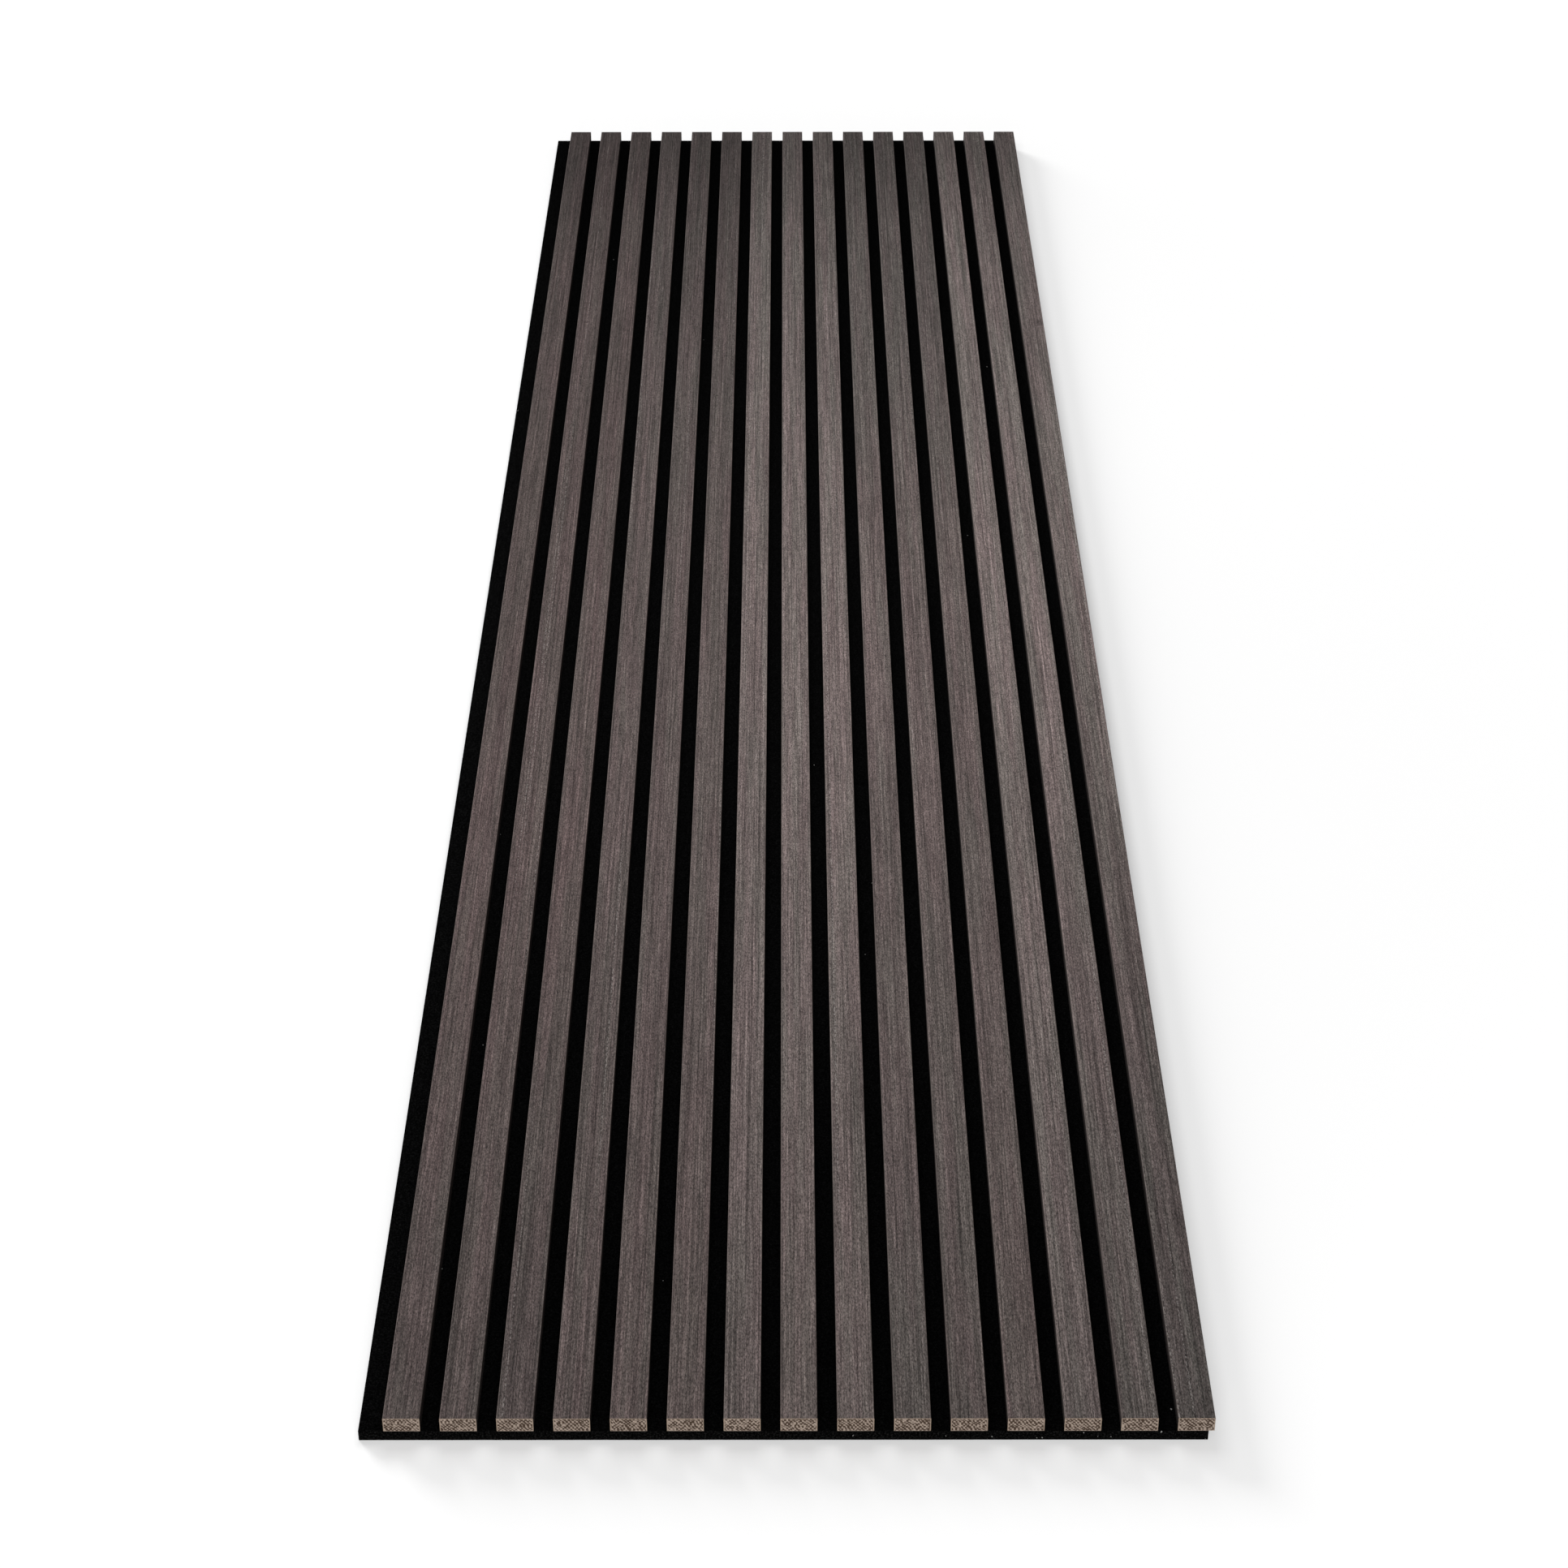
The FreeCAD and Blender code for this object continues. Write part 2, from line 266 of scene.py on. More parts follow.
def lattice_noise(rng, a, b, cell_a, cell_b):
    """Heights from -1 to 1: random at the corners of a lattice of cells, blended by a smooth step."""
    along_a = (a - a.min()) / cell_a
    along_b = (b - b.min()) / cell_b
    column, row = along_a.astype(int), along_b.astype(int)
    part_a, part_b = smooth_step(along_a - column), smooth_step(along_b - row)
    corner = rng.uniform(-1, 1, (column.max() + 2, row.max() + 2))
    near = corner[column, row] * (1 - part_a) + corner[column + 1, row] * part_a
    far = corner[column, row + 1] * (1 - part_a) + corner[column + 1, row + 1] * part_a
    return near * (1 - part_b) + far * part_b


def grid_quads(numbers):
    """Quads between the points of a grid; they face along the first axis crossed with the second."""
    corners = (numbers[:-1, :-1], numbers[1:, :-1], numbers[1:, 1:], numbers[:-1, 1:])
    return np.stack([corner.ravel() for corner in corners], 1)


def block_skin(xs, ys, zs):
    """The closed skin of a block.

    Its points are those of the lattice of three sets of lines that lie outside, and its quads are
    the six sides' grids, each turned to face outwards.
    """
    shape = (len(xs), len(ys), len(zs))
    i, j, k = np.indices(shape)
    outside = np.zeros(shape, bool)
    for index, count in zip((i, j, k), shape):
        outside |= (index == 0) | (index == count - 1)
    number = np.cumsum(outside.ravel()).reshape(shape) - 1
    points = np.stack([xs[i[outside]], ys[j[outside]], zs[k[outside]]], 1)
    sides = (
        number[-1], number[0].T,
        number[:, -1].T, number[:, 0],
        number[:, :, -1], number[:, :, 0].T,
    )
    return points, np.concatenate([grid_quads(side) for side in sides])


def make_piece(name, points, faces, materials, slot, nodes=(), second=None, sharp=35, **attributes):
    """A mesh piece that rides on the panel; faces is a list of arrays, one row of corners a face.

    Faces of the array numbered second take the second material, and the rest the first. Edges
    sharper than the given angle in degrees stay sharp.
    """
    mesh = bpy.data.meshes.new(name)
    corners = np.concatenate([face.ravel() for face in faces])
    sizes = np.concatenate([np.full(len(face), face.shape[1]) for face in faces])
    mesh.vertices.add(len(points))
    mesh.vertices.foreach_set("co", points.astype(np.float32).ravel())
    mesh.loops.add(len(corners))
    mesh.loops.foreach_set("vertex_index", corners.astype(np.int32))
    mesh.polygons.add(len(sizes))
    starts = np.cumsum(sizes) - sizes
    mesh.polygons.foreach_set("loop_start", starts.astype(np.int32))
    for material in materials:
        mesh.materials.append(material)
    if second is not None:
        kinds = [np.full(len(face), place == second) for place, face in enumerate(faces)]
        mesh.polygons.foreach_set("material_index", np.concatenate(kinds).astype(np.int32))
    mesh.update(calc_edges=True)
    mesh.polygons.foreach_set("use_smooth", np.ones(len(sizes), bool))
    mesh.set_sharp_from_angle(angle=math.radians(sharp))
    for label, values in attributes.items():
        flat = np.asarray(values, np.float32)
        kind, field = ("FLOAT_VECTOR", "vector") if flat.ndim == 2 else ("FLOAT", "value")
        attribute = mesh.attributes.new(label, kind, "POINT")
        attribute.data.foreach_set(field, flat.ravel())
    piece = bpy.data.objects.new(name, mesh)
    bpy.context.scene.collection.objects.link(piece)
    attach(piece, "root")
    if nodes:
        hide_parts(*nodes)
    return piece


# Shader nodes


def feed(tree, value, socket):
    """Links a socket to the output that feeds it, or sets it to a plain value."""
    if isinstance(value, bpy.types.NodeSocket):
        tree.links.new(value, socket)
    else:
        socket.default_value = value


def add(tree, kind, sockets=(), **settings):
    """A shader node; sockets maps an input's name or number to a value or to an output."""
    made = tree.nodes.new("ShaderNode" + kind)
    for setting, choice in settings.items():
        setattr(made, setting, choice)
    for key, amount in dict(sockets).items():
        feed(tree, amount, made.inputs[key])
    return made


def own_place(tree):
    """The place on the piece, in the panel's frame."""
    return add(tree, "TexCoord").outputs["Object"]


def attribute_value(tree, name, output="Fac"):
    """What the mesh says of its points under a name."""
    return add(tree, "Attribute", attribute_name=name).outputs[output]


def calculate(tree, operation, first, second=0.0):
    """One step of arithmetic on two values."""
    return add(tree, "Math", {0: first, 1: second}, operation=operation).outputs[0]


def blend_colours(tree, amount, first, second, mode="MIX"):
    """First colour where amount is 0, second where it is 1, by the given blend mode."""
    mix = add(tree, "Mix", data_type="RGBA", blend_type=mode)
    for number, value in ((0, amount), (6, first), (7, second)):
        feed(tree, value, mix.inputs[number])
    return mix.outputs[2]


def ramp(tree, value, low, high):
    """0 below low, 1 above high, smooth between."""
    sockets = {"Value": value, "From Min": low, "From Max": high}
    return add(tree, "MapRange", sockets, interpolation_type="SMOOTHSTEP").outputs[0]


def spread(tree, value, low, high):
    """A value from 0 to 1 laid out from low to high, and held there beyond."""
    return add(tree, "MapRange", {"Value": value, "To Min": low, "To Max": high}).outputs[0]


def stretch(tree, value, start, stop, low, high):
    """The part of a value from start to stop, laid out from low to high and held there beyond."""
    sockets = {"Value": value, "From Min": start, "From Max": stop, "To Min": low, "To Max": high}
    return add(tree, "MapRange", sockets).outputs[0]


def oval_distance(tree, middle, halves):
    """The distance from an oval's middle in X and Y, in shares of its half sizes: 1 at its rim."""
    shift = [-centre / half for centre, half in zip(middle, halves)]
    scale = [1 / half for half in halves]
    sockets = {"Vector": own_place(tree), "Location": (*shift, 0.0), "Scale": (*scale, 0.0)}
    oval = add(tree, "Mapping", sockets).outputs[0]
    return add(tree, "VectorMath", {0: oval}, operation="LENGTH").outputs["Value"]


def opaque(colour):
    """A colour that covers fully."""
    return (*colour, 1.0)


def new_group(name, inputs, outputs):
    """An empty node group with named sockets; returns the group, its input and its output node."""
    group = bpy.data.node_groups.new(name, "ShaderNodeTree")
    for label, kind in inputs:
        group.interface.new_socket(label, in_out="INPUT", socket_type=kind)
    for label, kind in outputs:
        group.interface.new_socket(label, in_out="OUTPUT", socket_type=kind)
    return group, group.nodes.new("NodeGroupInput"), group.nodes.new("NodeGroupOutput")


def make_drawn_lines():
    """Fine noise pulled out along Y: lines of a given width and length, from 0 to 1.

    The pulled noise is turned off its own lattice, so that the lines don't all break in one row.
    """
    group, inward, outward = new_group(
        "drawn_lines",
        (
            ("Place", "NodeSocketVector"),
            ("Lines per metre", "NodeSocketFloat"),
            ("Runs per metre", "NodeSocketFloat"),
            ("Detail", "NodeSocketFloat"),
        ),
        (("Lines", "NodeSocketFloat"),),
    )
    given = inward.outputs
    lines, runs = given["Lines per metre"], given["Runs per metre"]
    scale = add(group, "CombineXYZ", {0: lines, 1: runs, 2: lines}).outputs[0]
    pulled = add(group, "VectorMath", {0: given["Place"], 1: scale}, operation="MULTIPLY").outputs[0]
    sockets = {"Vector": pulled, "Rotation": OFF_LATTICE}
    turned = add(group, "VectorRotate", sockets, rotation_type="EULER_XYZ").outputs[0]
    sockets = {"Vector": turned, "Scale": 1.0, "Detail": given["Detail"], "Roughness": 0.7}
    noise = add(group, "TexNoise", sockets).outputs[0]
    group.links.new(noise, outward.inputs["Lines"])
    return group


def make_loose_fibres():
    """Short tangled hairs and the mottle round them, from 0 to 1.

    A hair runs where a noise crosses its middle value: 1 less the distance from it times the
    fineness. The mottle is a second, finer noise.
    """
    group, inward, outward = new_group(
        "loose_fibres",
        (
            ("Place", "NodeSocketVector"),
            ("Hairs per metre", "NodeSocketFloat"),
            ("Fineness", "NodeSocketFloat"),
        ),
        (("Hairs", "NodeSocketFloat"), ("Mottle", "NodeSocketFloat")),
    )
    given = inward.outputs
    shared = {"Vector": given["Place"], "Scale": given["Hairs per metre"]}
    warp = add(group, "TexNoise", {**shared, "Detail": 2.0, "Distortion": 1.5}).outputs[0]
    off_middle = calculate(group, "ABSOLUTE", calculate(group, "SUBTRACT", warp, 0.5))
    gone = calculate(group, "MULTIPLY", off_middle, given["Fineness"])
    hairs = add(group, "Clamp", {"Value": calculate(group, "SUBTRACT", 1.0, gone)}).outputs[0]
    mottle = add(group, "TexNoise", {**shared, "Detail": 6.0, "Roughness": 0.7}).outputs[0]
    group.links.new(hairs, outward.inputs["Hairs"])
    group.links.new(mottle, outward.inputs["Mottle"])
    return group


DRAWN_LINES = make_drawn_lines()
LOOSE_FIBRES = make_loose_fibres()


def place_group(tree, group, **values):
    """A copy of a node group in a material; spaces in socket names are written as underscores."""
    made = add(tree, "Group", node_tree=group)
    for key, amount in values.items():
        feed(tree, amount, made.inputs[key.replace("_", " ")])
    return made.outputs


def new_material(name):
    """An empty material with its Principled shader; returns the material, its tree and the shader."""
    material = bpy.data.materials.new(name)
    material.use_nodes = True
    tree = material.node_tree
    return material, tree, tree.nodes["Principled BSDF"]


def connect(tree, shader, colour, roughness, specular=None, height=None, depth=0.0, strength=0.0):
    """Feeds the shader's colour, roughness and specular level, and a bump of the given depth."""
    feed(tree, colour, shader.inputs["Base Color"])
    feed(tree, roughness, shader.inputs["Roughness"])
    if specular is not None:
        shader.inputs["Specular IOR Level"].default_value = specular
    if height is not None:
        sockets = {"Strength": strength, "Distance": depth, "Height": height}
        feed(tree, add(tree, "Bump", sockets).outputs[0], shader.inputs["Normal"])


# Materials


def scuff_mask(tree, streaks):
    """Where the last slat is scuffed: full in a patch's middle, gone at its rim, torn by streaks."""
    away = oval_distance(tree, SCUFF_PLACE, SCUFF_SIZE)
    patch = calculate(tree, "SUBTRACT", 1.0, ramp(tree, away, low=0.3, high=1.0))
    torn = stretch(tree, streaks, start=0.35, stop=0.65, low=0.75, high=0.2)
    return calculate(tree, "MULTIPLY", patch, torn)


def make_veneer():
    """Grey-brown stained veneer.

    Patches of two stains are multiplied by layers of drawn lines, from long grain to short specks.
    Dark pores, the greying, the slat's tone with its painted sheen and shade, the scuff, arrises
    with wear and a painted highlight, and dotted pale lines follow.
    """
    material, tree, shader = new_material("stained_veneer")
    unrolled = attribute_value(tree, "unrolled", "Vector")

    def lines(per_metre, runs, detail):
        """Drawn lines along the veneer as it was before it was wrapped."""
        return place_group(
            tree, DRAWN_LINES,
            Place=unrolled, Lines_per_metre=per_metre, Runs_per_metre=runs, Detail=detail,
        )["Lines"]

    patches = ramp(tree, lines(*STAIN_PATCHES), *NOISE_SPAN)
    body = blend_colours(tree, patches, opaque(GREY_GREEN_STAIN), opaque(MAUVE_STAIN))
    figure = {}
    for name, (per_metre, runs, detail, darkest, lightest) in FIGURE_LAYERS.items():
        figure[name] = lines(per_metre, runs, detail)
        share = stretch(tree, figure[name], *NOISE_SPAN, darkest, lightest)
        body = blend_colours(tree, 1.0, body, share, "MULTIPLY")

    pores = ramp(tree, lines(*PORES), low=0.62, high=0.70)
    dark_pores = calculate(tree, "MULTIPLY", pores, PORE_COVER)
    body = blend_colours(tree, dark_pores, body, opaque(PORE_BROWN))
    greying = attribute_value(tree, "greying")
    body = blend_colours(tree, greying, body, opaque(GREYED_SHARE), "MULTIPLY")
    body = blend_colours(tree, 1.0, body, attribute_value(tree, "tone"), "MULTIPLY")
    body = blend_colours(tree, scuff_mask(tree, figure["dashes"]), body, opaque(SCUFF_BROWN))
    # Paler arrises: wear, and a painted highlight where the rounded edge catches the light.
    worn_and_lit = calculate(tree, "MULTIPLY", attribute_value(tree, "arris"), ARRIS_COVER)
    body = blend_colours(tree, worn_and_lit, body, opaque(WORN_AND_LIT_ARRIS))

    pale = ramp(tree, lines(*PALE_LINES), low=0.76, high=0.81)
    pale = calculate(tree, "MULTIPLY", pale, PALE_LINE_SHARE)
    pale = calculate(tree, "MAXIMUM", pale, attribute_value(tree, "streak"))
    pale = calculate(tree, "MULTIPLY", pale, ramp(tree, figure["specks"], low=0.48, high=0.62))
    pale = calculate(tree, "MULTIPLY", pale, FLECK_COVER)
    body = blend_colours(tree, pale, body, opaque(PALE_FLECK))

    relief = calculate(tree, "ADD", figure["dashes"], figure["grain"])
    relief = calculate(tree, "SUBTRACT", relief, pores)
    roughness = stretch(tree, figure["dashes"], *NOISE_SPAN, low=0.85, high=0.68)
    connect(
        tree, shader, body, roughness, specular=0.06,
        height=relief, depth=0.05 * MM, strength=0.3,
    )
    return material


def make_raw_veneer():
    """The veneer's own cut edge: pale unstained wood with its grain end on."""
    material, tree, shader = new_material("raw_veneer_edge")
    fibres = place_group(
        tree, LOOSE_FIBRES, Place=own_place(tree), Hairs_per_metre=2500.0, Fineness=5.0
    )
    dark, light = RAW_WOOD
    colour = blend_colours(tree, fibres["Mottle"], opaque(dark), opaque(light))
    connect(
        tree, shader, colour, roughness=0.85,
        height=fibres["Hairs"], depth=0.05 * MM, strength=0.4,
    )
    return material


def make_fibreboard():
    """Sawn fibreboard: tan, with brown dust in the saw's marks and pressed fibres between them."""
    material, tree, shader = new_material("sawn_fibreboard")
    fibres = place_group(
        tree, LOOSE_FIBRES, Place=own_place(tree), Hairs_per_metre=900.0, Fineness=6.0
    )
    dark, light = BOARD_TAN
    tan = blend_colours(tree, fibres["Mottle"], opaque(dark), opaque(light))
    hairs = calculate(tree, "MULTIPLY", fibres["Hairs"], BOARD_FIBRE_COVER)
    tan = blend_colours(tree, hairs, tan, opaque(BOARD_FIBRE))
    dusty = ramp(tree, attribute_value(tree, "sawn"), low=0.05, high=0.58)
    connect(
        tree, shader, blend_colours(tree, dusty, tan, opaque(SAW_DUST)), roughness=0.92, specular=0.25,
        height=fibres["Mottle"], depth=0.12 * MM, strength=0.6,
    )
    return material


def make_felt_material():
    """Black pressed felt: tangled fibres with a few greyer ones, paler where the board was cut, partly by
    painted sheen.
    """
    material, tree, shader = new_material("black_felt")
    fibres = place_group(
        tree, LOOSE_FIBRES, Place=own_place(tree), Hairs_per_metre=700.0, Fineness=9.0
    )
    tufts = ramp(tree, fibres["Mottle"], low=0.46, high=0.66)
    pressed, cut_and_sheen = (
        blend_colours(tree, tufts, opaque(dark), opaque(light))
        for dark, light in (PRESSED_FELT, CUT_FELT_AND_SHEEN)
    )
    # The cut edges are paler: opened fibres, and a painted sheen of fuzz catching the light.
    colour = blend_colours(tree, attribute_value(tree, "cut"), pressed, cut_and_sheen)
    hairs = calculate(tree, "MULTIPLY", fibres["Hairs"], FELT_HAIR_COVER)
    colour = blend_colours(tree, hairs, colour, opaque(FELT_HAIR))
    connect(
        tree, shader, colour, roughness=1.0, specular=0.0,
        height=fibres["Mottle"], depth=0.4 * MM, strength=0.8,
    )
    return material


def make_fibre_material(name, shades):
    """Loose fibres whose shade wanders from dark to light over the panel."""
    material, tree, shader = new_material(name)
    fibres = place_group(
        tree, LOOSE_FIBRES, Place=own_place(tree), Hairs_per_metre=300.0, Fineness=4.0
    )
    dark, light = shades
    colour = blend_colours(tree, fibres["Mottle"], opaque(dark), opaque(light))
    connect(tree, shader, colour, roughness=0.9, specular=0.05)
    return material


def make_wire_material():
    """Drawn galvanised wire: fine drawing lines and dull grey zinc patches."""
    material, tree, shader = new_material("galvanised_wire")
    place = own_place(tree)
    drawn = place_group(
        tree, DRAWN_LINES, Place=place, Lines_per_metre=900.0, Runs_per_metre=9000.0, Detail=2.0
    )["Lines"]
    patches = add(tree, "TexNoise", {"Vector": place, "Scale": 700.0, "Detail": 3.0}).outputs[0]
    dark, light = ZINC
    connect(
        tree, shader, blend_colours(tree, patches, opaque(dark), opaque(light)),
        roughness=spread(tree, patches, low=0.28, high=0.5),
        height=drawn, depth=0.02 * MM, strength=0.4,
    )
    shader.inputs["Metallic"].default_value = 1.0
    return material


# Slats


def slat_boxes():
    """Low and high corners of every slat."""
    return [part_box(f"veneer_wrap_{number:02d}") for number in SLAT_NUMBERS]


def slat_middles():
    """The X of every slat's middle line."""
    return np.array([(low.x + high.x) / 2 for low, high in slat_boxes()])


def wrap_outline(half, foot, top, bend):
    """The wrap's outer section, from its left foot over the face to its right foot.

    A straight side, a quarter turn and half the face, mirrored. Returns X and Z, the outward
    normals and the distance unrolled along the veneer.
    """
    turn = np.linspace(math.pi, math.pi / 2, BEND_LINES)
    rise = np.linspace(foot, top - bend, SIDE_LINES)[:-1]
    across = np.linspace(bend - half, half - bend, FACE_LINES)[1:-1]
    left_x = np.concatenate([np.full(len(rise), -half), bend - half + bend * np.cos(turn)])
    left_z = np.concatenate([rise, top - bend + bend * np.sin(turn)])
    left_nx = np.concatenate([np.full(len(rise), -1.0), np.cos(turn)])
    left_nz = np.concatenate([np.zeros(len(rise)), np.sin(turn)])
    x = mirrored(left_x, across, -1)
    z = mirrored(left_z, np.full(len(across), top))
    normal_x = mirrored(left_nx, np.zeros(len(across)), -1)
    normal_z = mirrored(left_nz, np.ones(len(across)))
    unrolled = np.concatenate([[0], np.cumsum(np.hypot(np.diff(x), np.diff(z)))])
    return x, z, normal_x, normal_z, unrolled


def wrap_ends(outer_count, ring_count, far_start):
    """The two cut ends of a wrap: fans from the inner corners to the outer line.

    The outer points are shared out to the inner corners in order: left foot, left top, right top
    and right foot. A bridge joins two corners where the share changes.
    """
    foot_points = (SIDE_LINES - 1) // 2
    corner = np.where(np.arange(outer_count) < outer_count // 2, 1, 2)
    corner[:foot_points] = 0
    corner[-foot_points:] = 3
    inner = ring_count - 1 - corner
    step = np.arange(outer_count - 1)
    fans = np.stack([step, step + 1, inner[:-1]], 1)
    change = np.flatnonzero(corner[:-1] != corner[1:])
    bridges = np.stack([change + 1, inner[change + 1], inner[change]], 1)
    far = np.concatenate([fans, bridges]) + far_start
    near = far[:, ::-1] - far_start
    return np.concatenate([near, far])


def stain_tone_and_painted_light(number, stations, rng):
    """How light a slat's stain is along it.

    Its sheet's near tone is blended into its far tone by a smooth step, which is a painted sheen,
    darkened towards the far end by painted shade, and multiplied by the slat's own share, which wanders.
    """
    near, far = stations[0], stations[-1]
    sheet, strip = divmod(number - 1, SLATS_PER_SHEET)
    in_last_sheet = number > SLAT_COUNT - SLATS_PER_SHEET
    outward = strip / (SLATS_PER_SHEET - 1) if in_last_sheet else 0
    near_tone = NEAR_TONES[sheet] * (1 - LAST_SHEET_NEAR_FADE * outward)
    far_tone = FAR_TONES[sheet] * (1 - LAST_SHEET_FAR_FADE * outward ** 2)
    # The drift from the near tone to the far tone is a painted sheen.
    blend = smooth_step((stations - near) / (SHEEN_DRIFT * (far - near)))
    tone = near_tone + (far_tone - near_tone) * blend
    # Painted shade over the last stretch to the far end.
    tone *= 1 - FAR_END_PAINTED_SHADE * (1 - smooth_step((far - stations) / FAR_END_REACH))
    own = rng.uniform(*SLAT_TONE_RANGE)
    wander = lattice_noise(rng, stations, stations, TONE_WANDER_RUN, TONE_WANDER_RUN)
    return tone * (own + TONE_WANDER * wander)


def stain_greying(number, stations):
    """How grey a slat's stain is along it: its middle value, blended out to both ends."""
    near, far = stations[0], stations[-1]
    sheet = (number - 1) // SLATS_PER_SHEET
    middle = MIDDLE_GREYING[sheet]
    to_near = 1 - smooth_step((stations - near) / GREYING_REACH)
    to_far = smooth_step((stations - (near + far) / 2) / GREYING_REACH)
    near_part = (NEAR_GREYING[number - 1] - middle) * to_near
    far_part = (FAR_GREYING[sheet] - middle) * to_far
    return middle + near_part + far_part


def pale_streaks(x, stations):
    """Dotted lines: a bell curve across the slat round each offset, fading out along it."""
    nearest = np.abs(x[:, None] - STREAK_OFFSETS).min(1)
    across = np.exp(-((nearest / STREAK_WIDTH) ** 2))
    along = 1 - smooth_step((stations - stations[0]) / STREAK_REACH)
    return along, across


def make_wrap(number, materials):
    """A veneer wrap: its section carried along the slat, sunk along the grain into shallow flutes.

    The inner wall is the core's own outline. Each point knows its place on the unrolled sheet, its
    tone with painted sheen and shade, and painted shade on the sides, its greying, how near it is to
    an arris with wear and a painted highlight, and whether a pale streak runs there.
    """
    low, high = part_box(f"veneer_wrap_{number:02d}")
    core_low, core_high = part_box(f"mdf_core_{number:02d}")
    centre = (low.x + high.x) / 2
    half = (high.x - low.x) / 2
    rng = seeded(f"veneer {number}")
    bend = high.z - core_high.z
    x, z, normal_x, normal_z, unrolled = wrap_outline(half, low.z, high.z, bend)
    stations = np.linspace(low.y, high.y, GRAIN_STATIONS)
    along, around = np.meshgrid(stations, unrolled, indexing="ij")
    fine = lattice_noise(rng, around, along, FLUTE_WIDTH, FLUTE_RUN)
    coarse = lattice_noise(rng, around, along, COARSE_FLUTE_WIDTH, COARSE_FLUTE_RUN)
    flutes = (1 - COARSE_FLUTE_SHARE) * fine + COARSE_FLUTE_SHARE * coarse
    on_face = smooth_step((half - np.abs(x)) / ARRIS_BAND)
    sunk = FLUTE_DEPTH * (0.5 - 0.5 * flutes) * on_face
    outer = np.stack([centre + x - sunk * normal_x, along, z - sunk * normal_z], -1)

    inner_x = np.array([core_low.x, core_low.x, core_high.x, core_high.x])
    inner_z = np.array([core_low.z, core_high.z, core_high.z, core_low.z])
    inner = np.stack(np.broadcast_arrays(inner_x, stations[:, None], inner_z), -1)
    ring = np.concatenate([outer, inner[:, ::-1]], 1)
    count = ring.shape[1]
    numbers = np.arange(GRAIN_STATIONS * count).reshape(GRAIN_STATIONS, count)
    closed = np.concatenate([numbers, numbers[:, :1]], 1)
    faces = [grid_quads(closed.T), wrap_ends(len(x), count, numbers[-1, 0])]

    def round_ring(outer_values, inner_value=0.0):
        """Values of the outer points, followed by one value for the inner corners."""
        return np.append(outer_values, np.full(len(inner_x), inner_value))

    place = np.stack([
        np.tile(round_ring(unrolled, unrolled[-1] / 2), GRAIN_STATIONS),
        np.repeat(stations, count),
        np.full(numbers.size, number * SHEET_STEP),
    ], 1)
    # Painted shade: the sides' tone is cut as if the slats shaded one another.
    tone = np.outer(stain_tone_and_painted_light(number, stations, rng), 1 - PAINTED_SIDE_SHADE * round_ring(np.abs(normal_x)))
    # Wear and painted highlight: 1 at the arris, fading over its band.
    arris = round_ring(smooth_step(1 - np.hypot(half - np.abs(x), high.z - z) / ARRIS_BAND))
    streak_along, streak_across = pale_streaks(x, stations)
    streak_across *= (z > core_high.z) & (number == SLAT_COUNT)
    return make_piece(
        f"slat_veneer_{number:02d}", ring.reshape(-1, 3), faces, materials, "veneer",
        [f"veneer_wrap_{number:02d}"],
        second=1,
        unrolled=place,
        tone=tone.ravel(),
        arris=np.tile(arris, GRAIN_STATIONS),
        greying=np.repeat(stain_greying(number, stations), count),
        streak=np.outer(streak_along, round_ring(streak_across)).ravel(),
    )


def saw_grooves(rng, x, z):
    """How deep the saw bit into a cut end, from 0 to 1.

    Two sets of slanting cosine waves, bent by a slow noise, and crumbled spots are added up and
    multiplied by the strength of the bite, another noise.
    """
    wander = lattice_noise(rng, x, z, *WANDER_CELL)
    rising, falling = x * math.sin(SAW_SLOPE), z * math.cos(SAW_SLOPE)
    stroke = (rising + falling) / SAW_PITCH + SAW_WANDER * wander
    crossing = (rising - falling) / SAW_PITCH - SAW_WANDER * wander
    bite = BITE_MEAN + BITE_SPREAD * lattice_noise(rng, x, z, *BITE_CELL)
    groove = SAW_MEAN + STROKE_WEIGHT * np.cos(2 * math.pi * stroke)
    groove += CROSSING_WEIGHT * np.cos(2 * math.pi * crossing)
    groove += CRUMBLE_WEIGHT * lattice_noise(rng, x, z, *CRUMBLE_CELL)
    return np.clip(groove * bite, 0, 1)


def make_core(number, material):
    """A fibreboard core: a block whose two ends are scored by the saw and rough with fibres."""
    low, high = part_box(f"mdf_core_{number:02d}")
    rng = seeded(f"fibreboard {number}")
    points, quads = block_skin(
        np.linspace(low.x, high.x, END_COLUMNS),
        np.array([low.y, high.y]),
        np.linspace(low.z, high.z, END_ROWS),
    )
    x, z = points[:, 0], points[:, 2]
    border = np.minimum.reduce([x - low.x, high.x - x, z - low.z, high.z - z])
    sawn = np.zeros(len(points))
    for end, inward in ((low.y, 1), (high.y, -1)):
        here = points[:, 1] == end
        groove = saw_grooves(rng, x, z) * smooth_step(border / SAW_BORDER)
        rough = 0.5 + 0.5 * lattice_noise(rng, x, z, *FIBRE_CELL)
        depth = (SAW_DEPTH * groove + FIBRE_ROUGHNESS * rough) * (border > 0)
        points[here, 1] += inward * depth[here]
        sawn[here] = groove[here]
    return make_piece(
        f"slat_core_{number:02d}", points, [quads], [material], "mdf",
        [f"mdf_core_{number:02d}"],
        sawn=sawn,
    )


# Staples


def staple_middles():
    """The X and Y of every staple's middle: one row at each place along every slat."""
    low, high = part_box("fixing_staples")
    rows = np.linspace(low.y + WIRE_WIDTH / 2, high.y - WIRE_WIDTH / 2, STAPLE_ROWS)
    x, y = np.meshgrid(slat_middles(), rows, indexing="ij")
    return x.ravel(), y.ravel()


def staple_half_crown():
    """Half of a staple's outside width."""
    low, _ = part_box("fixing_staples")
    return slat_middles()[0] - low.x


